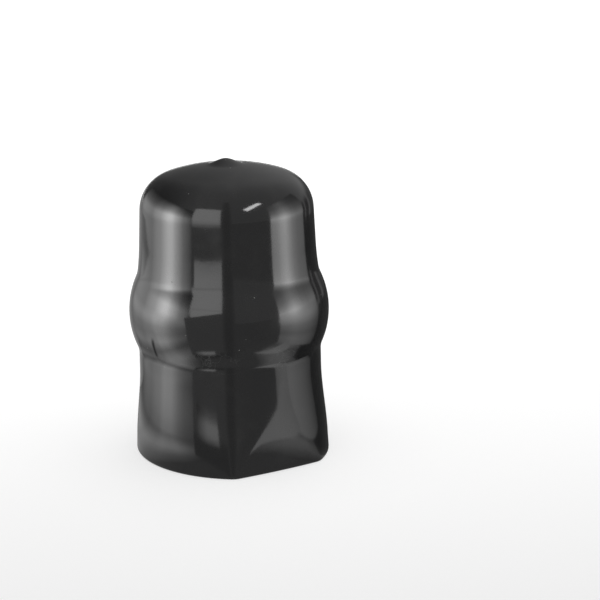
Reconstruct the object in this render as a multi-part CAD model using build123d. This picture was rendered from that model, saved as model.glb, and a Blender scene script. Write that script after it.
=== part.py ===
from build123d import *
import os
from math import atan2, cos, hypot, pi, radians, sin, sqrt

# Driving dimensions, in millimetres and degrees
ball_diameter = 50.8      # the ball that the bulge snaps over
wall = 2.8                # dipped vinyl, even all over

bulge_round = 23.5        # profile radius of the bulge, outside
waist_step = 2.4          # how far the waist lies inside the bulge
crease_round = 2.3        # tight crease under the bulge
throat_round = 8.0        # crease above the bulge
splay_round = 80.0        # soft turn of the barrel's lower end, above the throat
splay_turn = 5.0          # how far the barrel opens there
barrel_step = 2.6         # how far the barrel lies inside the bulge, at the ball's centre
barrel_draft = 2.5        # taper of the barrel, for stripping off the former

skirt_height = 25.0       # from the flatted rim up to the round waist
rim_band = 5.0            # upright lower end of the skirt
waist_length = 5.1        # straight grip below the crease
barrel_length = 10.0      # straight part of the barrel

shoulder_round = 10.7     # rounded edge of the crown
crown_round = 55.0        # flat dome on top
drip_radius = 5.6         # nipple left by the last drop of the dip
drip_height = 1.4

rim_flare = 1.1           # rim beyond the waist, on the round sides
flat_flare = 0.8          # rim beyond the waist, at the middle of the two flats
flat_half = 12.5          # half the width of a flat
flat_bow = 4.0            # turn from the middle of a flat to its end
corner_round = 4.0        # corners at the ends of the flats
rim_round = 0.7           # eased edges of the trimmed rim

flare_levels = 5          # sections along the skirt, above the band

# Sizes that follow
bulge_radius = ball_diameter / 2 + wall
waist_radius = bulge_radius - waist_step
rim_radius = waist_radius + rim_flare
flat_distance = waist_radius + flat_flare
waist_top = skirt_height + waist_length


def between(start, end):
    """Angle of the line from one point to another."""
    return atan2(end[1] - start[1], end[0] - start[0])


def around(centre, radius, angle):
    """Point on a circle, as radius from the axis and height."""
    return centre[0] + radius * cos(angle), centre[1] + radius * sin(angle)


def arc(centre, radius, start, end):
    """Arc about a centre from one angle to another, in the plane of the profile."""
    angles = (start, (start + end) / 2, end)
    return ThreePointArc(*(around(centre, radius, angle) for angle in angles))


# Centres of the profile's arcs: an inset keeps them and changes only their radii
crease_centre = (waist_radius + crease_round, waist_top)
bulge_axis = bulge_radius - bulge_round
ball_drop = sqrt((bulge_round + crease_round) ** 2 - (crease_centre[0] - bulge_axis) ** 2)
ball_height = waist_top + ball_drop
bulge_centre = (bulge_axis, ball_height)

draft = radians(barrel_draft)
splay = draft + radians(splay_turn)
throat_gap = splay_round - (splay_round - throat_round) * cos(splay - draft)
barrel_reach = (bulge_round - barrel_step) * cos(draft) + throat_gap
throat_rise = sqrt((bulge_round + throat_round) ** 2 - barrel_reach**2)
throat_centre = around(around(bulge_centre, barrel_reach, draft), throat_rise, draft + pi / 2)
splay_centre = around(throat_centre, splay_round - throat_round, splay)
barrel_foot = around(splay_centre, -splay_round, draft)
barrel_head = around(barrel_foot, barrel_length, draft + pi / 2)
shoulder_centre = around(barrel_head, -shoulder_round, draft)
crown_drop = sqrt((crown_round - shoulder_round) ** 2 - shoulder_centre[0] ** 2)
crown_centre = (0, shoulder_centre[1] - crown_drop)
crown_height = crown_centre[1] + crown_round


def turned_body(inset):
    """Waist, bulge, barrel and crown as one turned form, drawn in by the inset."""
    crease = between(crease_centre, bulge_centre) - pi
    throat = between(bulge_centre, throat_centre)
    shoulder = between(crown_centre, shoulder_centre)
    waist = waist_radius - inset
    top = crown_height - inset
    outline = Curve() + [
        Line((0, skirt_height), (waist, skirt_height)),
        Line((waist, skirt_height), (waist, waist_top)),
        arc(crease_centre, crease_round + inset, pi, crease + pi),
        arc(bulge_centre, bulge_round - inset, crease, throat),
        arc(throat_centre, throat_round + inset, throat - pi, splay - pi),
        arc(splay_centre, splay_round + inset, splay - pi, draft - pi),
        Line(
            around(barrel_foot, -inset, draft),
            around(barrel_head, -inset, draft),
        ),
        arc(shoulder_centre, shoulder_round - inset, draft, shoulder),
        arc(crown_centre, crown_round - inset, shoulder, pi / 2),
        Line((0, top), (0, skirt_height)),
    ]
    return revolve(Plane.XZ * make_face(outline), Axis.Z)


# Rim outline: arcs for flat, corner and side that run into each other
flat_end = pi / 2 - radians(flat_bow)
flat_radius = flat_half / cos(flat_end)
flat_centre = (0, flat_distance - flat_radius)
corner_centre = around(flat_centre, flat_radius - corner_round, flat_end)
side_slope = (rim_radius - corner_round - corner_centre[0]) / corner_centre[1]
side_end = 2 * atan2(side_slope, 1)
side_radius = corner_round + corner_centre[1] / sin(side_end)
side_centre = (rim_radius - side_radius, 0)


def skirt_section(height, inset):
    """Closed outline of the skirt at a height, from the flatted rim to the round waist."""
    rise = max(0, (height - rim_band) / (skirt_height - rim_band))
    flare = 1 - rise**2 * (3 - 2 * rise)
    flatness = (1 - height / skirt_height) ** 2
    edges = []
    for turn, flip in ((0, 1), (pi, -1)):
        pieces = (
            (side_centre, side_radius, -side_end, side_end),
            (corner_centre, corner_round, side_end, flat_end),
            (flat_centre, flat_radius, flat_end, pi - flat_end),
            ((-corner_centre[0], corner_centre[1]), corner_round, pi - flat_end, pi - side_end),
        )
        for centre, rim_arc, start, end in pieces:
            middle = (flip * flatness * centre[0], flip * flatness * centre[1])
            radius = waist_radius + flare * rim_flare + flatness * (rim_arc - rim_radius) - inset
            edges.append(arc(middle, radius, turn + start, turn + end))
    return Pos(0, 0, height) * Face(Wire(edges))


def skirt(inset):
    """Upright rim band and the flare above it, which turns from flatted to round."""
    heights = [0, rim_band / 2]
    for level in range(flare_levels + 1):
        heights.append(rim_band + (skirt_height - rim_band) * level / flare_levels)
    return loft([skirt_section(height, inset) for height in heights])


def drip():
    """Nipple on the crown: a hollow flank that runs into a rounded tip."""
    foot = crown_centre[1] + sqrt(crown_round**2 - drip_radius**2)
    tip = crown_height + drip_height
    middle = (drip_radius / 2, (foot + tip) / 2)
    bend = hypot(drip_radius, tip - foot) ** 2 / (4 * (tip - foot))
    outline = Curve() + [
        RadiusArc((drip_radius, foot), middle, bend),
        RadiusArc(middle, (0, tip), -bend),
        Line((0, tip), (0, foot - wall / 2)),
        Line((0, foot - wall / 2), (drip_radius, foot - wall / 2)),
        Line((drip_radius, foot - wall / 2), (drip_radius, foot)),
    ]
    return revolve(Plane.XZ * make_face(outline), Axis.Z)


def cover():
    """Whole cap: the outer form with the nipple, less the same form drawn in by the wall."""
    outside = turned_body(0) + skirt(0) + drip()
    cavity = turned_body(wall) + skirt(wall)
    shell = outside - cavity
    rim_edges = shell.edges().group_by(Axis.Z)[0]
    return fillet(rim_edges, rim_round)


os.makedirs("parts", exist_ok=True)
part = cover()
part.label = "cover"
export_step(part, "parts/cover.step")
print(f"cover: {part.volume / 1000:.1f} cm3, {part.bounding_box().size}")
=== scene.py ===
# %% [markdown]
# # A dip-moulded tow ball cover
#
# This cover is one piece of black vinyl. A warm former is dipped into liquid vinyl, lifted out
# and cured, and the skin is stripped off. So the wall is even, the outside is as shiny as a
# poured surface, and the last drop leaves a small nipple on the crown.
#
# The solid model gives the size and the place. We load it first and keep its box.

# %% Load the frame
import math
import bpy
from mathutils import Matrix, Vector, noise as clouds


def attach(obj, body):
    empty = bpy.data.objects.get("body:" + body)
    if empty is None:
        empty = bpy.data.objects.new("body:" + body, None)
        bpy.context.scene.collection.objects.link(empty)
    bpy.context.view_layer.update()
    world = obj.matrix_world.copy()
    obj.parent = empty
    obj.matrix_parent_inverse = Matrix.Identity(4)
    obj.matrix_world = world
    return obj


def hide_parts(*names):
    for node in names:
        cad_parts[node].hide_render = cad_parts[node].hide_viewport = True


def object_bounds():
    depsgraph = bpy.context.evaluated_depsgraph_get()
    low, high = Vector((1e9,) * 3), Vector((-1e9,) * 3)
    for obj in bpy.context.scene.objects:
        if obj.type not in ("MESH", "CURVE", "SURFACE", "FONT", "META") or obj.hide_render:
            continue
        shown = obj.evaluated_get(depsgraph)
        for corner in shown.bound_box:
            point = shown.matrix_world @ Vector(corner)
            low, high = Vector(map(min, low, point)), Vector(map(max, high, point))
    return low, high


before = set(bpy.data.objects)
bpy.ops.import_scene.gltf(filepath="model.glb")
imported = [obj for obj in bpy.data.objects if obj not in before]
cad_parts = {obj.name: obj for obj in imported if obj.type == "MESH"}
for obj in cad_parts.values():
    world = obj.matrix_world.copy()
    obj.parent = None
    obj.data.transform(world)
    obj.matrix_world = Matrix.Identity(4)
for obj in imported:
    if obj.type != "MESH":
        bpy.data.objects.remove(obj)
cad_low, cad_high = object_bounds()
mm = 0.001
print("frame box, mm:", [round(side / mm, 2) for side in cad_high - cad_low])

# %% [markdown]
# ## The camera
#
# Glossy black things are all reflections, and a reflection depends on where you stand, so the
# camera comes before any modelling. It stands half a metre away, a little above the cover, with
# a long lens. One flat of the skirt is turned to the right of it. We build the camera's turn
# from a heading, a tilt and a small roll, because each of those can be read off a picture alone.

# %% Set the camera
view_turn = math.radians(29.0)       # the flat's direction, to the right of the camera
view_distance = 500.3 * mm
view_height = 171.3 * mm
view_yaw = math.radians(2.294)       # the cover stands left of the middle
view_tilt = math.radians(14.40)      # looking down
view_roll = math.radians(-0.897)
focal_pixels = 1828
picture_pixels = 600
sensor_width = 36
nearest_seen = 10 * mm

to_part = Matrix.Rotation(-view_turn, 3, "Z")


def studio(right, away, up):
    """A point to the right of, away from and above the cover's foot, as the camera sees it."""
    return to_part @ Vector((right, away, up))


heading = Matrix.Rotation(-view_turn - view_yaw, 3, "Z")
tilt = Matrix.Rotation(math.pi / 2 - view_tilt, 3, "X")
roll = Matrix.Rotation(view_roll, 3, "Z")
bpy.ops.object.camera_add(
    location=studio(0, -view_distance, view_height),
    rotation=(heading @ tilt @ roll).to_euler(),
)
camera = bpy.context.object
camera.data.sensor_width = sensor_width
camera.data.lens = focal_pixels / picture_pixels * sensor_width
camera.data.clip_start = nearest_seen
bpy.context.scene.camera = camera
print("camera at", [round(v, 3) for v in camera.location], "lens", round(camera.data.lens, 1))

# %% [markdown]
# ## The profile
#
# Seen from the side, the cover is straight lines and arcs that run into each other: waist,
# crease, bulge, throat, a barrel that splays a little at its foot, shoulder and crown. In the
# crease the vinyl has run together, so its arc is wider than the solid's. You could place every
# point by hand, but then no arc is a true arc, and black gloss shows every bump. Here the profile
# starts as one vertex at the rim. Lines are extruded from it, and each arc is made by spinning
# the end vertex about the arc's centre. The centres follow from the radii, because arcs that
# touch from outside have centres one sum of radii apart.

# %% Sizes of the profile
bulge_radius = cad_high.x
total_height = cad_high.z
wall = 2.8 * mm
bulge_round = 23.5 * mm
waist_step = 2.4 * mm                # how far the waist lies inside the bulge
waist_length = 5.1 * mm
crease_round = 2.3 * mm              # the solid's crease, which sets the bulge's height
crease_fill = 7.0 * mm               # radius to which the vinyl has filled it
throat_round = 8.0 * mm
splay_round = 80.0 * mm
splay_turn = math.radians(5.0)       # how far the barrel opens at its foot
barrel_step = 2.6 * mm
barrel_draft = math.radians(2.5)
barrel_length = 10.0 * mm
shoulder_round = 10.7 * mm
crown_round = 55.0 * mm
drip_radius = 5.6 * mm
skirt_height = 25.0 * mm

waist_radius = bulge_radius - waist_step
waist_top = skirt_height + waist_length
splay = barrel_draft + splay_turn
print("radius of bulge and waist, mm:", round(bulge_radius / mm, 2), round(waist_radius / mm, 2))

# %% Centres of the arcs


def polar(centre, radius, angle):
    """Point on a circle in the profile's plane, as distance from the axis and height."""
    return Vector((centre[0] + radius * math.cos(angle), centre[1] + radius * math.sin(angle)))


def bearing(start, end):
    """Direction from one point of the profile's plane to another."""
    return math.atan2(end[1] - start[1], end[0] - start[0])


def other_leg(longest, leg):
    """Third side of a right triangle."""
    return math.sqrt(longest**2 - leg**2)


bulge_axis = bulge_radius - bulge_round
bulge_rise = other_leg(bulge_round + crease_round, waist_radius + crease_round - bulge_axis)
bulge_centre = Vector((bulge_axis, waist_top + bulge_rise))
fill_drop = other_leg(bulge_round + crease_fill, waist_radius + crease_fill - bulge_axis)
fill_centre = Vector((waist_radius + crease_fill, bulge_centre[1] - fill_drop))
throat_gap = splay_round - (splay_round - throat_round) * math.cos(splay - barrel_draft)
barrel_reach = (bulge_round - barrel_step) * math.cos(barrel_draft) + throat_gap
throat_rise = other_leg(bulge_round + throat_round, barrel_reach)
throat_foot = polar(bulge_centre, barrel_reach, barrel_draft)
throat_centre = polar(throat_foot, throat_rise, barrel_draft + math.pi / 2)
splay_centre = polar(throat_centre, splay_round - throat_round, splay)
barrel_foot = polar(splay_centre, -splay_round, barrel_draft)
barrel_head = polar(barrel_foot, barrel_length, barrel_draft + math.pi / 2)
shoulder_centre = polar(barrel_head, -shoulder_round, barrel_draft)
crown_drop = other_leg(crown_round - shoulder_round, shoulder_centre[0])
crown_centre = Vector((0, shoulder_centre[1] - crown_drop))
crown_height = crown_centre[1] + crown_round
drip_height = total_height - crown_height
print("crown at", round(crown_height / mm, 2), "mm, drip", round(drip_height / mm, 2), "mm high")

# %% Draw the profile
level_gap = 1.0 * mm                 # length of one step along the profile
tight_gap = level_gap / 2            # and in the tight arcs
drip_steps = 14
fewest_steps = 4


def one_vertex(radius, height):
    """A mesh of a single selected vertex, left in edit mode."""
    bpy.ops.object.select_all(action="DESELECT")
    bpy.ops.mesh.primitive_plane_add(size=mm, location=(0, 0, 0))
    bpy.ops.object.mode_set(mode="EDIT")
    bpy.ops.mesh.select_all(action="SELECT")
    bpy.ops.mesh.merge(type="CENTER")
    bpy.ops.transform.translate(value=(radius, 0, height))


def draw_line(start, end):
    """Extrudes the end vertex to a new end, in even steps."""
    steps = max(1, round((end - start).length / level_gap))
    move = (end - start) / steps
    for _ in range(steps):
        bpy.ops.mesh.extrude_region_move(TRANSFORM_OT_translate={"value": (move[0], 0, move[1])})


def draw_arc(centre, radius, start, end, gap=level_gap):
    """Spins the end vertex about a centre, from one angle to another."""
    turn = end - start
    bpy.ops.mesh.spin(
        steps=max(fewest_steps, round(abs(turn) * radius / gap)),
        angle=abs(turn),
        center=(centre[0], 0, centre[1]),
        axis=(0, math.copysign(1, turn), 0),
    )


crease_end = bearing(fill_centre, bulge_centre)
throat_start = bearing(bulge_centre, throat_centre)
shoulder_end = bearing(crown_centre, shoulder_centre)
drip_start = math.acos(drip_radius / crown_round)

one_vertex(waist_radius, 0)
cover = bpy.context.object
cover.name = "cover_skin"
draw_line(Vector((waist_radius, 0)), Vector((waist_radius, skirt_height)))
draw_line(Vector((waist_radius, skirt_height)), Vector((waist_radius, fill_centre[1])))
draw_arc(fill_centre, crease_fill, math.pi, crease_end, tight_gap)
draw_arc(bulge_centre, bulge_round, crease_end - math.pi, throat_start)
draw_arc(throat_centre, throat_round, throat_start - math.pi, splay - math.pi, tight_gap)
draw_arc(splay_centre, splay_round, splay - math.pi, barrel_draft - math.pi)
draw_line(barrel_foot, barrel_head)
draw_arc(shoulder_centre, shoulder_round, barrel_draft, shoulder_end)
draw_arc(crown_centre, crown_round, shoulder_end, drip_start)
draw_arc(crown_centre, crown_round, drip_start, math.pi / 2, drip_radius / drip_steps)
bpy.ops.object.mode_set(mode="OBJECT")
print("profile of", len(cover.data.vertices), "points, top at",
      round(max(v.co.z for v in cover.data.vertices) / mm, 3), "mm")

# %% [markdown]
# ## The turned skin
#
# A form that is the same all round is quickest made by spinning its half profile about the
# axis. The spin closes on itself, so the last copy lies on the first, and all the copies of the
# top point lie on each other. Merging by distance closes both. The normals are set outwards now,
# while the skin has one side only: once it has a wall, the tool could turn the inside round.

# %% Spin the skin
around_steps = 192
merge_distance = 0.001 * mm

bpy.ops.object.mode_set(mode="EDIT")
bpy.ops.mesh.select_all(action="SELECT")
bpy.ops.mesh.spin(steps=around_steps, angle=2 * math.pi, center=(0, 0, 0), axis=(0, 0, 1))
bpy.ops.mesh.select_all(action="SELECT")
bpy.ops.mesh.remove_doubles(threshold=merge_distance)
bpy.ops.mesh.normals_make_consistent(inside=False)
bpy.ops.object.mode_set(mode="OBJECT")
print("skin of", len(cover.data.polygons), "faces")

# %% [markdown]
# ## The flats of the skirt
#
# Below the waist the skirt widens a little and turns from round to a rim with two flats and
# four soft corners. A lattice could press the flats in, but its handles don't hit a size. So each
# point of the skirt is moved along its own radius, to where that radius meets the outline at its
# height. The outline is three arcs that run into each other, side, corner and flat, and the rim's
# arcs fade into the round waist as the height grows.

# %% Press the flats
rim_flare = 1.1 * mm                 # rim beyond the waist, on the round sides
flat_flare = 0.8 * mm                # and at the middle of a flat
rim_band = 5.0 * mm                  # upright lower end of the skirt
flat_half = 12.5 * mm
flat_bow = math.radians(4.0)         # turn from the middle of a flat to its end
corner_round = 4.0 * mm

flat_end = math.pi / 2 - flat_bow
rim_radius = waist_radius + rim_flare
flat_radius = flat_half / math.cos(flat_end)
flat_centre = Vector((0, waist_radius + flat_flare - flat_radius))
corner_centre = polar(flat_centre, flat_radius - corner_round, flat_end)
side_end = 2 * math.atan2(rim_radius - corner_round - corner_centre[0], corner_centre[1])
side_radius = corner_round + corner_centre[1] / math.sin(side_end)
side_centre = Vector((rim_radius - side_radius, 0))
rim_arcs = (
    (side_centre, side_radius, side_end),
    (corner_centre, corner_round, flat_end),
    (flat_centre, flat_radius, math.pi / 2),
)


def skirt_reach(turn, height):
    """Distance of the skirt's outline from the axis, in one direction and at one height."""
    rise = max(0, (height - rim_band) / (skirt_height - rim_band))
    flare = 1 - rise**2 * (3 - 2 * rise)
    flatness = (1 - height / skirt_height) ** 2
    way = Vector((abs(math.cos(turn)), abs(math.sin(turn))))
    for centre, rim_arc, arc_end in rim_arcs:
        middle = centre * flatness
        radius = waist_radius + flare * rim_flare + flatness * (rim_arc - rim_radius)
        along = middle.dot(way)
        reach = along + math.sqrt(max(0, radius**2 - middle.length_squared + along**2))
        if bearing(middle, way * reach) <= arc_end:
            break
    return reach


for vertex in cover.data.vertices:
    if vertex.co.z < skirt_height:
        turn = math.atan2(vertex.co.y, vertex.co.x)
        reach = skirt_reach(turn, vertex.co.z)
        vertex.co.x = reach * math.cos(turn)
        vertex.co.y = reach * math.sin(turn)
corner_turn = bearing((0, 0), corner_centre)
print("rim: side", round(skirt_reach(0, 0) / mm, 2), "corner",
      round(skirt_reach(corner_turn, 0) / mm, 2), "flat",
      round(skirt_reach(math.pi / 2, 0) / mm, 2), "mm")

# %% [markdown]
# ## Waves, puckers and a furrow
#
# A dipped skin is never a perfect lathe job: the vinyl sags a hair while it cures, and stripping
# it off the former stretches the crease. On matt rubber you would not see it, on gloss it is what
# bends the reflections. A cloudy noise pushes each point in along its normal, once in long low
# waves and once in short puckers that fade away from the crease. A single furrow at the left of
# the bulge is a dent from handling. All of them only push inwards, so that the cover stays within
# its box.

# %% Sag and pucker the skin
wave_length = 16 * mm
wave_depth = 0.08 * mm
pucker_length = 5 * mm
pucker_depth = 0.08 * mm
pucker_reach = 3.0 * mm
dent_middle = studio(-20.7, -17.6, 34.7) * mm
dent_way = studio(0.28, 0.1, -0.95).normalized()
dent_half = 4.2 * mm
dent_width = 1.5 * mm
dent_depth = 0.12 * mm

inwards = [-vertex.normal for vertex in cover.data.vertices]
for vertex, inward in zip(cover.data.vertices, inwards):
    wave = (1 + clouds.noise(vertex.co / wave_length)) / 2
    pucker = (1 + clouds.noise(vertex.co / pucker_length)) / 2
    nearness = math.exp(-(((vertex.co.z - waist_top) / pucker_reach) ** 2))
    along = (vertex.co - dent_middle).dot(dent_way) / dent_half
    aside = (vertex.co - dent_middle).cross(dent_way).length / dent_width
    dent = math.exp(-(along**4) - aside**2)
    depth = wave * wave_depth + pucker * nearness * pucker_depth + dent * dent_depth
    vertex.co += inward * depth
print("widest", round(max(v.co.x for v in cover.data.vertices) / mm, 3), "mm from the axis")

# %% [markdown]
# ## The wall
#
# The skin gets its thickness from a Solidify modifier, which steps inwards along the normals and
# so keeps the wall even, as dipping does. Its material offset gives the inside a material of its
# own: that side cured against the former and is dull. The rim was trimmed with a knife after
# stripping, so it is levelled, and its two edges are eased with a small bevel.

# %% Thicken the wall
dipped = bpy.data.materials.new("dipped_vinyl")
former_side = bpy.data.materials.new("former_side_vinyl")
cover.data.materials.append(dipped)
cover.data.materials.append(former_side)

thicken = cover.modifiers.new("wall", "SOLIDIFY")
thicken.thickness = wall
thicken.offset = -1
thicken.use_even_offset = True
thicken.material_offset = 1
thicken.material_offset_rim = 0
bpy.ops.object.modifier_apply(modifier=thicken.name)
print("with its wall,", len(cover.data.polygons), "faces")

# %% Trim the rim
rim_round = 0.7 * mm
rim_steps = 4
mesh = cover.data


def select_only(kind, wanted):
    """Selects the mesh's vertices or edges that a test wants, and nothing else."""
    bpy.ops.object.mode_set(mode="EDIT")
    bpy.ops.mesh.select_mode(type="VERT" if kind == "vertices" else "EDGE")
    bpy.ops.mesh.select_all(action="DESELECT")
    bpy.ops.object.mode_set(mode="OBJECT")
    for item in getattr(mesh, kind):
        item.select = wanted(item)
    bpy.ops.object.mode_set(mode="EDIT")


def on_rim(vertex):
    """True for a point of the rim, outside or inside."""
    return vertex.co.z < level_gap / 2


def along_rim(edge):
    """True for an edge that runs round the rim, and not across the wall."""
    first, second = (mesh.vertices[index] for index in edge.vertices)
    across = abs(first.co.xy.length - second.co.xy.length)
    return on_rim(first) and on_rim(second) and across < wall / 2


select_only("vertices", on_rim)
bpy.ops.transform.resize(value=(1, 1, 0), center_override=(0, 0, 0))
select_only("edges", along_rim)
bpy.ops.mesh.bevel(offset=rim_round, segments=rim_steps, affect="EDGES")
bpy.ops.object.mode_set(mode="OBJECT")
print("rim bevelled,", len(mesh.polygons), "faces, lowest point",
      round(min(v.co.z for v in mesh.vertices) / mm, 3), "mm")

# %% [markdown]
# ## The drip
#
# When the former is lifted out crown down, the last vinyl runs to the middle of the crown and
# cures there as a nipple. By hand you would pull the middle point up with proportional editing,
# so that the points around it follow less and less. We do the same. Connected only keeps the
# inside, which lies just below, where it is.

# %% Pull up the drip
top = max(mesh.vertices, key=lambda vertex: vertex.co.z).index
lift = total_height - mesh.vertices[top].co.z
select_only("vertices", lambda vertex: vertex.index == top)
bpy.ops.transform.translate(
    value=(0, 0, lift),
    use_proportional_edit=True,
    use_proportional_connected=True,
    proportional_edit_falloff="SMOOTH",
    proportional_size=drip_radius,
)
bpy.ops.object.mode_set(mode="OBJECT")
bpy.ops.object.shade_smooth()
print("top now at", round(max(v.co.z for v in mesh.vertices) / mm, 3), "mm")

# %% Hand the cover to the frame
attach(cover, "root")
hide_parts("cover")
print("cover of", sum(len(p.vertices) - 2 for p in mesh.polygons), "triangles")

# %% [markdown]
# ## Glossy dipped vinyl
#
# Black plastic has hardly any colour of its own. What we see is the clear gloss on top, so the
# work goes into the roughness and the bump: a faint orange peel from curing, hazy patches from
# handling, fine scuffs round the crease, dull dust, and less shine in the furrow, which paints a
# dark line of shade along its bottom. You could paint such marks into a picture, but patterns
# made by nodes stay sharp at any distance. They all read Object coordinates, which here are
# metres, so a scale of 1000 is one pattern to the millimetre.

# %% Helpers for node trees


def fresh_tree(owner):
    """The emptied node tree of a material or a world."""
    owner.use_nodes = True
    owner.node_tree.nodes.clear()
    return owner.node_tree


def add_node(tree, kind, inputs=None, **settings):
    """Adds a node, sets its properties, and sets or links its inputs by name or number."""
    made = tree.nodes.new(kind)
    for name, value in settings.items():
        setattr(made, name, value)
    for name, value in (inputs or {}).items():
        if isinstance(value, bpy.types.NodeSocket):
            tree.links.new(value, made.inputs[name])
        else:
            made.inputs[name].default_value = value
    return made


def noise(tree, place, size, detail, output="Fac"):
    """A cloudy pattern, from 0 to 1, with features of a size in metres."""
    inputs = {"Vector": place, "Scale": 1 / size, "Detail": detail}
    return add_node(tree, "ShaderNodeTexNoise", inputs).outputs[output]


def remap(tree, value, from_low, from_high, to_low, to_high):
    """Carries a value from one range to another, smoothly and clamped."""
    ranges = {
        "Value": value,
        "From Min": from_low,
        "From Max": from_high,
        "To Min": to_low,
        "To Max": to_high,
    }
    made = add_node(tree, "ShaderNodeMapRange", ranges, interpolation_type="SMOOTHSTEP")
    return made.outputs["Result"]


def combine(tree, operation, first, second=0):
    """Sum, product or other operation of two values, or of one alone."""
    made = add_node(tree, "ShaderNodeMath", {0: first, 1: second}, operation=operation)
    return made.outputs["Value"]


def combine_vectors(tree, operation, *vectors, output="Vector"):
    """Sum, product or other operation of up to three vectors."""
    inputs = dict(enumerate(vectors))
    return add_node(tree, "ShaderNodeVectorMath", inputs, operation=operation).outputs[output]


def blend_colours(tree, share, first, second):
    """Mixes two colours by a share of the second. The node's sockets 6 and 7 take colours."""
    inputs = {0: share, 6: first, 7: second}
    return add_node(tree, "ShaderNodeMix", inputs, data_type="RGBA").outputs[2]


def bump(tree, height, strength, depth, under=None):
    """A normal bent by a height from 0 to 1, on top of an earlier one if there is one."""
    inputs = {"Height": height, "Strength": strength, "Distance": depth}
    if under is not None:
        inputs["Normal"] = under
    return add_node(tree, "ShaderNodeBump", inputs).outputs["Normal"]


# %% Patterns of wear
speck_core = 0.5                     # share of a speck's size that is solid
speck_choice = (0.45, 0.75)          # brightness of the cells that get a speck
scuff_gap = 5 * mm
scuff_width = 0.2 * mm
scuff_reach = 4.5 * mm
scuff_core = 0.4                     # share of the reach where all scuffs show
scuff_patches = (0.4, 0.65)
furrow_core = 0.3                    # share of the furrow's half that is at full strength
pattern_middle = (0.5, 0.5, 0.5)


def specks(tree, place, gap, size):
    """Scattered round specks, 1 inside and 0 outside, at most one to a gap in each direction."""
    cells = add_node(tree, "ShaderNodeTexVoronoi", {"Vector": place, "Scale": 1 / gap})
    near = remap(tree, cells.outputs["Distance"], speck_core * size / gap, size / gap, 1, 0)
    chosen = remap(tree, cells.outputs["Color"], *speck_choice, 0, 1)
    return combine(tree, "MULTIPLY", near, chosen)


def shaken(tree, place, size, reach, detail):
    """Places shifted to and fro by a cloudy pattern, so that lines through them wander."""
    drift = noise(tree, place, size, detail, "Color")
    centred = combine_vectors(tree, "SUBTRACT", drift, pattern_middle)
    return combine_vectors(tree, "MULTIPLY_ADD", centred, (reach, reach, reach), place)


def scuffs(tree, place, height):
    """Fine crossing lines in patches round one height."""
    cells = add_node(tree, "ShaderNodeTexVoronoi", {
        "Vector": shaken(tree, place, scuff_gap / 2, scuff_gap, detail=3),
        "Scale": 1 / scuff_gap,
    }, feature="DISTANCE_TO_EDGE")
    lines = remap(tree, cells.outputs["Distance"], 0, scuff_width / scuff_gap, 1, 0)
    level = add_node(tree, "ShaderNodeSeparateXYZ", {0: place}).outputs["Z"]
    away = combine(tree, "ABSOLUTE", combine(tree, "SUBTRACT", level, height))
    near = remap(tree, away, scuff_core * scuff_reach, scuff_reach, 1, 0)
    patches = remap(tree, noise(tree, place, 2 * scuff_gap, detail=2), *scuff_patches, 0, 1)
    return combine(tree, "MULTIPLY", combine(tree, "MULTIPLY", lines, near), patches)


def furrow_and_shade_mark(tree, place, middle, way):
    """One short furrow through a place and along a way, 1 at its bottom and 0 outside. It shapes the
    furrow's bump and its painted shade.
    """
    offset = combine_vectors(tree, "SUBTRACT", place, middle)
    along = combine_vectors(tree, "DOT_PRODUCT", offset, way, output="Value")
    square = combine_vectors(tree, "CROSS_PRODUCT", offset, way)
    aside = combine_vectors(tree, "LENGTH", square, output="Value")
    from_middle = combine(tree, "ABSOLUTE", along)
    lengthwise = remap(tree, from_middle, furrow_core * dent_half, dent_half, 1, 0)
    return combine(tree, "MULTIPLY", lengthwise, remap(tree, aside, 0, dent_width, 1, 0))


# %% Mix the dipped vinyl
black = (0.014, 0.014, 0.0145, 1)
hazy_black = (0.022, 0.022, 0.022, 1)
scuff_grey = (0.05, 0.05, 0.05, 1)
dust_grey = (0.3, 0.3, 0.29, 1)
vinyl_ior = 1.52
clean_rough = 0.1
hazy_rough = 0.14
scuff_rough = 0.3
dust_rough = 0.6
full_shine = 0.5
# specular level at the furrow's bottom, lowered to paint a dark line of shade there
painted_shade_shine = 0.05
haze_size = 9 * mm
haze_range = (0.45, 0.75)
dust_gap = 5 * mm
dust_size = 0.2 * mm
peel_size = 1.6 * mm
peel_depth = 0.02 * mm
peel_strength = 0.25
lump_depth = 0.05 * mm               # of dust and furrow
lump_strength = 0.6


def mix_dipped_vinyl(material):
    """Shiny black with haze, scuffs, dust, and the furrow with painted shade along its bottom."""
    tree = fresh_tree(material)
    place = add_node(tree, "ShaderNodeTexCoord").outputs["Object"]
    haze = remap(tree, noise(tree, place, haze_size, detail=4), *haze_range, 0, 1)
    dust = specks(tree, place, dust_gap, dust_size)
    scuff = scuffs(tree, place, waist_top + scuff_reach / 2)
    wandering = shaken(tree, place, dent_half, dent_half / 2, detail=0)
    furrow = furrow_and_shade_mark(tree, wandering, dent_middle, dent_way)
    colour = blend_colours(tree, haze, black, hazy_black)
    rough = remap(tree, haze, 0, 1, clean_rough, hazy_rough)
    for mark, grey, level in ((scuff, scuff_grey, scuff_rough), (dust, dust_grey, dust_rough)):
        colour = blend_colours(tree, mark, colour, grey)
        rough = combine(tree, "MAXIMUM", rough, combine(tree, "MULTIPLY", mark, level))
    peel = bump(tree, noise(tree, place, peel_size, detail=3), peel_strength, peel_depth)
    lumps = combine(tree, "SUBTRACT", dust, furrow)
    # The furrow's mask lowers the specular level, which paints a dark line of shade along its
    # bottom.
    shader = add_node(tree, "ShaderNodeBsdfPrincipled", {
        "Base Color": colour,
        "Roughness": rough,
        "IOR": vinyl_ior,
        "Specular IOR Level": remap(tree, furrow, 0, 1, full_shine, painted_shade_shine),
        "Normal": bump(tree, lumps, lump_strength, lump_depth, peel),
    })
    add_node(tree, "ShaderNodeOutputMaterial", {"Surface": shader.outputs["BSDF"]})


mix_dipped_vinyl(dipped)
print("dipped vinyl has", len(dipped.node_tree.nodes), "nodes")

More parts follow.
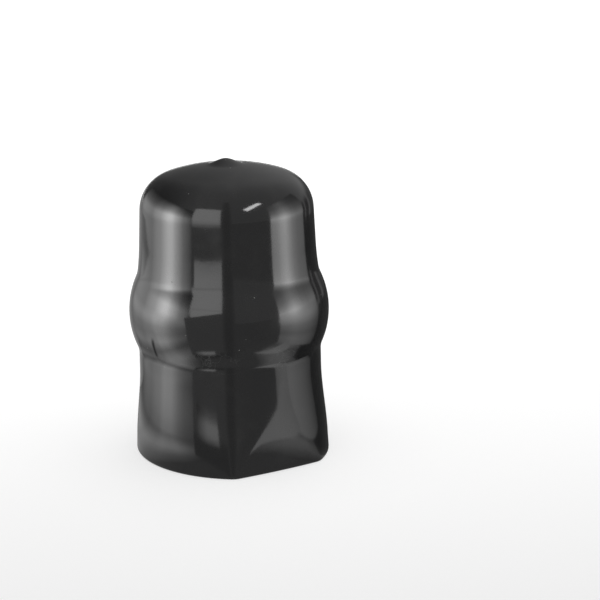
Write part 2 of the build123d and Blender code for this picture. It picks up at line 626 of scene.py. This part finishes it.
# %% [markdown]
# ## The dull inside
#
# The inside cured against the former and took its fine grain, so it is a duller and slightly
# greyer black with soft clouds. Real grain would need millions of faces on a side that is hardly
# seen, so it is a bump in the material.

# %% Mix the dull inside
inside_black = (0.022, 0.022, 0.023, 1)
inside_grey = (0.04, 0.04, 0.04, 1)
inside_rough = (0.45, 0.6)
cloud_range = (0.3, 0.7)
grain_size = 0.5 * mm
grain_depth = 0.03 * mm
grain_strength = 0.5


def mix_former_side(material):
    """Dull black with soft clouds and a fine grain."""
    tree = fresh_tree(material)
    place = add_node(tree, "ShaderNodeTexCoord").outputs["Object"]
    cloudy = noise(tree, place, haze_size, detail=4)
    grain = noise(tree, place, grain_size, detail=2)
    shader = add_node(tree, "ShaderNodeBsdfPrincipled", {
        "Base Color": blend_colours(tree, cloudy, inside_black, inside_grey),
        "Roughness": remap(tree, cloudy, *cloud_range, *inside_rough),
        "IOR": vinyl_ior,
        "Normal": bump(tree, grain, grain_strength, grain_depth),
    })
    add_node(tree, "ShaderNodeOutputMaterial", {"Surface": shader.outputs["BSDF"]})


mix_former_side(former_side)
print("former side has", len(former_side.node_tree.nodes), "nodes")

# %% [markdown]
# ## Floor and room
#
# The floor is a plain pale sweep. Its paper is lit by the lamp, which gives the shadow, and the
# light paths add a glow for the camera and for reflections, stronger to the back, so that the
# background is pale without more light on the cover. A wide lamp overhead gives the plain light
# that falls on everything. The room behind it is even too, only darker to the back left, and that
# alone draws the soft change from black to grey across the crown.

# %% Lay the floor
floor_reach = 6.0
floor_drop = 0.02 * mm
paper = (0.45, 0.45, 0.45, 1)
glow_front = 0.40
glow_back = 0.92
glow_span = 400 * mm


def seen_rays(tree):
    """1 for rays from the camera, from gloss and from glass, and 0 for the rest."""
    paths = add_node(tree, "ShaderNodeLightPath").outputs
    shown = combine(tree, "MAXIMUM", paths["Is Camera Ray"], paths["Is Glossy Ray"])
    return combine(tree, "MAXIMUM", shown, paths["Is Transmission Ray"])


def mix_floor(material):
    """Matt paper, with a glow that grows away from the camera's side."""
    tree = fresh_tree(material)
    place = add_node(tree, "ShaderNodeTexCoord").outputs["Object"]
    turned = add_node(tree, "ShaderNodeMapping", {"Vector": place, "Rotation": (0, 0, view_turn)})
    away = add_node(tree, "ShaderNodeSeparateXYZ", {0: turned.outputs["Vector"]}).outputs["Y"]
    glow = remap(tree, away, -glow_span, glow_span, glow_front, glow_back)
    strength = combine(tree, "MULTIPLY", glow, seen_rays(tree))
    shine = add_node(tree, "ShaderNodeEmission", {"Strength": strength})
    matt = add_node(tree, "ShaderNodeBsdfDiffuse", {"Color": paper})
    both = add_node(tree, "ShaderNodeAddShader", {0: shine.outputs[0], 1: matt.outputs[0]})
    add_node(tree, "ShaderNodeOutputMaterial", {"Surface": both.outputs[0]})


bpy.ops.object.select_all(action="DESELECT")
bpy.ops.mesh.primitive_plane_add(size=2 * floor_reach, location=(0, 0, 0))
floor = bpy.context.object
floor.name = "floor"
bpy.ops.object.mode_set(mode="EDIT")
bpy.ops.transform.translate(value=(0, 0, -floor_drop))
bpy.ops.object.mode_set(mode="OBJECT")
floor.data.materials.append(bpy.data.materials.new("floor_paper"))
mix_floor(floor.data.materials[0])
print("floor", 2 * floor_reach, "m wide")

# %% Light the room
lamp_size = 0.6
lamp_height = 0.7
lamp_glow = 1.6
room_light = 0.62
room_dark = 0.08
dark_way = math.radians(-130)        # to the back left, counted from the camera
dark_range = (0.1, 0.95)             # cosine to that way, where the dark starts and is full

bpy.ops.object.light_add(type="AREA", location=(0, 0, lamp_height))
overhead = bpy.context.object
overhead.name = "overhead"
overhead.data.shape = "SQUARE"
overhead.data.size = lamp_size
overhead.data.energy = lamp_glow * math.pi * lamp_size**2
overhead.visible_camera = False
overhead.visible_glossy = False

room = bpy.data.worlds.new("room")
bpy.context.scene.world = room


def mix_room(world):
    """Even light, darker to one side."""
    tree = fresh_tree(world)
    way = add_node(tree, "ShaderNodeTexCoord").outputs["Generated"]
    darkest = studio(math.sin(dark_way), -math.cos(dark_way), 0)
    facing = combine_vectors(tree, "DOT_PRODUCT", way, darkest, output="Value")
    strength = remap(tree, facing, *dark_range, room_light, room_dark)
    light = add_node(tree, "ShaderNodeBackground", {"Strength": strength})
    add_node(tree, "ShaderNodeOutputWorld", {"Surface": light.outputs[0]})


mix_room(room)
print("room from", room_dark, "to", room_light)

# %% [markdown]
# ## Softboxes and cards
#
# Gloss on black is drawn by the shapes of the lights. A photographer stands softboxes and cards
# close round a black thing and shifts them until the reflections show its form. Area lamps could
# do it, but a sheet's light is easier to shade from side to side. Only reflections see these
# sheets. Each one's light is the product of two ramps over its own UV map, one up the sheet and
# one across, and its top may fade to clear. Places and sizes of the sheets are in millimetres.

# %% Tools for cards


def ramp(tree, value, stops):
    """A level read off the lines between stops from 0 to 1, each a place and a level."""
    peak = max(level for _, level in stops)
    made = add_node(tree, "ShaderNodeValToRGB", {"Fac": value})
    elements = made.color_ramp.elements
    for place, _ in stops[1:-1]:
        elements.new(place)
    for element, (_, level) in zip(elements, stops):
        element.color = (level / peak, level / peak, level / peak, 1)
    return combine(tree, "MULTIPLY", made.outputs["Color"], peak)


def sheet_glow(name, up, across, fade):
    """A ramp up the sheet times a ramp across it, clear towards its top by a share to fade."""
    material = bpy.data.materials.new(name)
    tree = fresh_tree(material)
    spot = add_node(tree, "ShaderNodeTexCoord").outputs["UV"]
    sides = add_node(tree, "ShaderNodeSeparateXYZ", {0: spot}).outputs
    strength = combine(tree, "MULTIPLY", ramp(tree, sides["Y"], up), ramp(tree, sides["X"], across))
    shine = add_node(tree, "ShaderNodeEmission", {"Strength": strength}).outputs[0]
    clear = add_node(tree, "ShaderNodeBsdfTransparent").outputs[0]
    share = remap(tree, sides["Y"], 1 - fade, 1, 0, 1) if fade else 0
    both = add_node(tree, "ShaderNodeMixShader", {0: share, 1: shine, 2: clear})
    add_node(tree, "ShaderNodeOutputMaterial", {"Surface": both.outputs[0]})
    return material


def sheet(name, middle, facing, upwards, width, height, glow, lean=0):
    """A sheet at a studio place that is seen in reflections alone."""
    bpy.ops.object.select_all(action="DESELECT")
    axes = Matrix((upwards.cross(facing), upwards, facing)).transposed()
    axes = axes @ Matrix.Rotation(lean, 3, "Z")
    bpy.ops.mesh.primitive_plane_add(
        size=mm,
        location=studio(*middle) * mm,
        rotation=(to_part @ axes).to_euler(),
    )
    made = bpy.context.object
    made.name = name
    made.scale = (width, height, 1)
    bpy.ops.object.transform_apply(location=True, rotation=True, scale=True)
    made.data.materials.append(glow)
    made.visible_camera = False
    made.visible_diffuse = False
    made.visible_shadow = False
    print(name, round(width, 1), "x", round(height, 1), "mm")


def card(name, way, out, span, rise, up, across, lean=0, fade=0):
    """An upright sheet that faces the cover. Its span counts to the right, looking out to it."""
    outward = Vector((math.sin(way), -math.cos(way), 0))
    upwards = Vector((0, 0, 1))
    aside = outward.cross(upwards)
    middle = outward * out + aside * sum(span) / 2 + upwards * sum(rise) / 2
    width, height = span[1] - span[0], rise[1] - rise[0]
    glow = sheet_glow(name, up, across, fade)
    sheet(name, middle, -outward, upwards, width, height, glow, lean)


# %% [markdown]
# ## The two softboxes
#
# A tall softbox on each side gives the bright bands. Their ramps rise and fall gently, because a
# box with even light would draw bands with hard sides. The skirt and the lower half of the bulge
# mirror what stands low and near, so a low card stands before each box. Its top fades to clear,
# and there the far box takes over without an edge.

# %% Stand up the left softbox
far_out = 300                        # from the cover's axis to a softbox
far_rise = (0, 270)
near_out = 70                        # and to the low card before it
near_rise = (0, 50)
near_fade = 0.3

left_way = math.radians(-90)
left_far_span = (-291, 480)
left_far_up = [(0, 7.2), (0.1, 7.2), (0.23, 9.6), (0.41, 10), (0.6, 4.6), (0.73, 2.8), (1, 0.3)]
left_far_across = [
    (0, 0.11), (0.125, 0.3), (0.22, 0.72), (0.26, 1),
    (0.3, 0.96), (0.39, 0.47), (0.52, 0.19), (1, 0.05),
]
card("left_far", left_way, far_out, left_far_span, far_rise, left_far_up, left_far_across)

left_near_span = (-75, 60)
left_near_up = [(0, 2.2), (0.06, 2.4), (0.2, 3.5), (0.4, 2.9), (0.58, 3.5), (0.8, 6.2), (1, 9)]
left_near_across = [
    (0, 0.3), (0.16, 0.44), (0.24, 0.62), (0.34, 1),
    (0.44, 0.92), (0.5, 0.64), (0.65, 0.33), (1, 0.12),
]
left_near_glow = (left_near_up, left_near_across)
card("left_near", left_way, near_out, left_near_span, near_rise, *left_near_glow, fade=near_fade)

# %% Stand up the right softbox
right_way = math.radians(90)
right_far_span = (-142, 202)
right_far_up = [(0, 4.8), (0.09, 4.8), (0.2, 6.8), (0.34, 4.4), (0.46, 2.9), (0.7, 1.5), (1, 1)]
right_far_across = [
    (0, 0.15), (0.27, 0.28), (0.41, 0.45), (0.61, 1),
    (0.71, 0.92), (0.81, 0.72), (1, 0.6),
]
card("right_far", right_way, far_out, right_far_span, far_rise, right_far_up, right_far_across)

right_near_span = (-16, 58)
right_near_up = [(0, 1.4), (0.21, 1.6), (0.36, 1.3), (0.56, 2), (0.84, 4.6), (1, 5)]
right_near_across = [(0, 0.12), (0.15, 0.3), (0.58, 0.95), (0.66, 1), (1, 0.8)]
right_near_glow = (right_near_up, right_near_across)
card("right_near", right_way, near_out, right_near_span, near_rise, *right_near_glow, fade=near_fade)

# %% [markdown]
# ## The window and the fence
#
# A window at the front left gives the pale panes on the barrel and the bulge. A dark fence stands
# close to the cover and cuts them off at the bulge. Its top leans, so the cut slants. From the
# bulge you would see a gap between the fence and the window's foot, and a bright lip behind the
# fence closes it.

# %% Stand up the window and the fence
even = [(0, 1), (1, 1)]
window_way = math.radians(-25)
window_out = 135
window_span = (-42, 42)
window_rise = (55, 160)
window_up = [(0, 1), (0.1, 2.1), (0.25, 2.6), (1, 2.6)]
card("window", window_way, window_out, window_span, window_rise, window_up, even)

fence_out = 54
fence_span = (-19, 12)
fence_rise = (0, 46)
fence_up = [(0, 0.3), (0.17, 0.3), (0.25, 0.5), (1, 0.5)]
card("fence", window_way, fence_out, fence_span, fence_rise, fence_up, even)

top_span = (-20, 13)
top_rise = (37.8, 49.8)
top_lean = math.radians(-12)
top_up = [(0, 0.5), (1, 0.5)]
card("fence_top", window_way, fence_out, top_span, top_rise, top_up, even, top_lean)

lip_step = 0.2
lip_span = (-18.3, 8.3)
lip_rise = (44, 55.8)
lip_up = [(0, 2.6), (0.85, 2.6), (1, 2)]
card("lip", window_way, fence_out + lip_step, lip_span, lip_rise, lip_up, even)

# %% [markdown]
# ## The small cards
#
# The rest are single marks: a low pane for the skirt, a dark post that keeps the middle black, a
# slanted card for the flat, a card far behind for the streaks in the right edge, and a small
# bright one for the glint on the shoulder. Each could be a patch in the material, but then it
# would stay in place when you walk round the cover, and a reflection doesn't.

# %% Stand up the small cards
pane_step = 1
pane_span = (-10, 8)
pane_rise = (7.5, 15.5)
pane_up = [(0, 0.6), (0.35, 2), (0.7, 2.1), (0.9, 0.85), (1, 0.85)]
pane_across = [(0, 0.9), (0.1, 1), (0.5, 1), (1, 0.25)]
card("low_pane", window_way, fence_out - pane_step, pane_span, pane_rise, pane_up, pane_across)

post_way = 0
post_span = (-4.1, 5.9)
post_rise = (0, 130)
post_across = [(0, 0.39), (0.3, 0.3), (0.7, 0.3), (1, 0.45)]
card("dark_post", post_way, fence_out, post_span, post_rise, even, post_across)

flat_way = math.radians(47)
flat_out = 58
flat_span = (-17.1, 26.9)
flat_rise = (-4.3, 9.7)
flat_lean = math.radians(-27)
flat_across = [(0, 1.3), (0.4, 1.8), (1, 1.8)]
card("flat_card", flat_way, flat_out, flat_span, flat_rise, even, flat_across, flat_lean)

# %% Stand up the back card and the glint
back_way = math.radians(140)
back_out = 400
back_span = (-210, 210)
back_rise = (0, 180)
back_fade = 0.5
back_across = [
    (0, 0.1), (0.45, 0.1), (0.57, 0.35), (0.61, 0.1),
    (0.74, 0.1), (0.8, 0.5), (0.84, 0.1), (1, 0.08),
]
card("back_card", back_way, back_out, back_span, back_rise, even, back_across, fade=back_fade)

glint_way = math.radians(38)
glint_out = 150
glint_span = (-44, 44)
glint_rise = (169, 192)
glint_lean = math.radians(-36)
glint_up = [(0, 11), (1, 11)]
card("glint", glint_way, glint_out, glint_span, glint_rise, glint_up, even, glint_lean)

# %% [markdown]
# ## The mats
#
# The skirt and the underside of the bulge mirror the floor, and a pale floor would turn them
# grey. A photographer lays dark mats just outside the picture. Here the mats lie under the cover
# too, because only reflections see them. The two small ones carry the light of the low cards on
# across the floor, so that the bands run down to the rim.

# %% Lay the mats
mat_lift = 0.2                       # from the floor to the lowest mat, and from mat to mat
mat_reach = 2000


def mat(name, level, right, away, along, across, fade=0):
    """A level sheet between two places to the right and two away from the camera."""
    middle = (sum(right) / 2, sum(away) / 2, level)
    width, length = right[1] - right[0], away[1] - away[0]
    glow = sheet_glow(name, along, across, fade)
    sheet(name, middle, Vector((0, 0, 1)), Vector((0, 1, 0)), width, length, glow)


dark_sides = (-mat_reach, mat_reach)
dark_across = [(0, 0.45), (0.485, 0.45), (0.515, 0.38), (1, 0.38)]
mat("dark_mat", mat_lift, dark_sides, dark_sides, even, dark_across)

back_corner = (26, -12)              # the near corner, to the right and away
back_sides = [(side, side + mat_reach) for side in back_corner]
back_glow = [(0, 0.06), (1, 0.06)]
mat("back_mat", 2 * mat_lift, *back_sides, even, back_glow)

left_mat_right = (-near_out, -24)
left_mat_across = [(0, 2), (0.17, 1.5), (0.5, 2.3), (0.63, 2.2), (0.85, 1), (1, 0.5)]
mat("left_mat", 3 * mat_lift, left_mat_right, left_near_span, left_near_across, left_mat_across)

right_mat_right = (22, near_out)
right_mat_away = (-58, -4)
right_mat_along = [(0, 0.8), (0.2, 0.85), (0.4, 1), (0.6, 0.9), (1, 0.3)]
right_mat_across = [(0, 0.4), (0.25, 1.1), (0.5, 1.2), (0.75, 0.7), (1, 1.3)]
right_mat_glow = (right_mat_along, right_mat_across)
right_mat_fade = 0.4
mat("right_mat", 3 * mat_lift, right_mat_right, right_mat_away, *right_mat_glow, right_mat_fade)

# %% [markdown]
# ## Finish
#
# Last, the plain view transform keeps colours as written.

# %% Set the view transform
bpy.context.scene.view_settings.view_transform = "Standard"
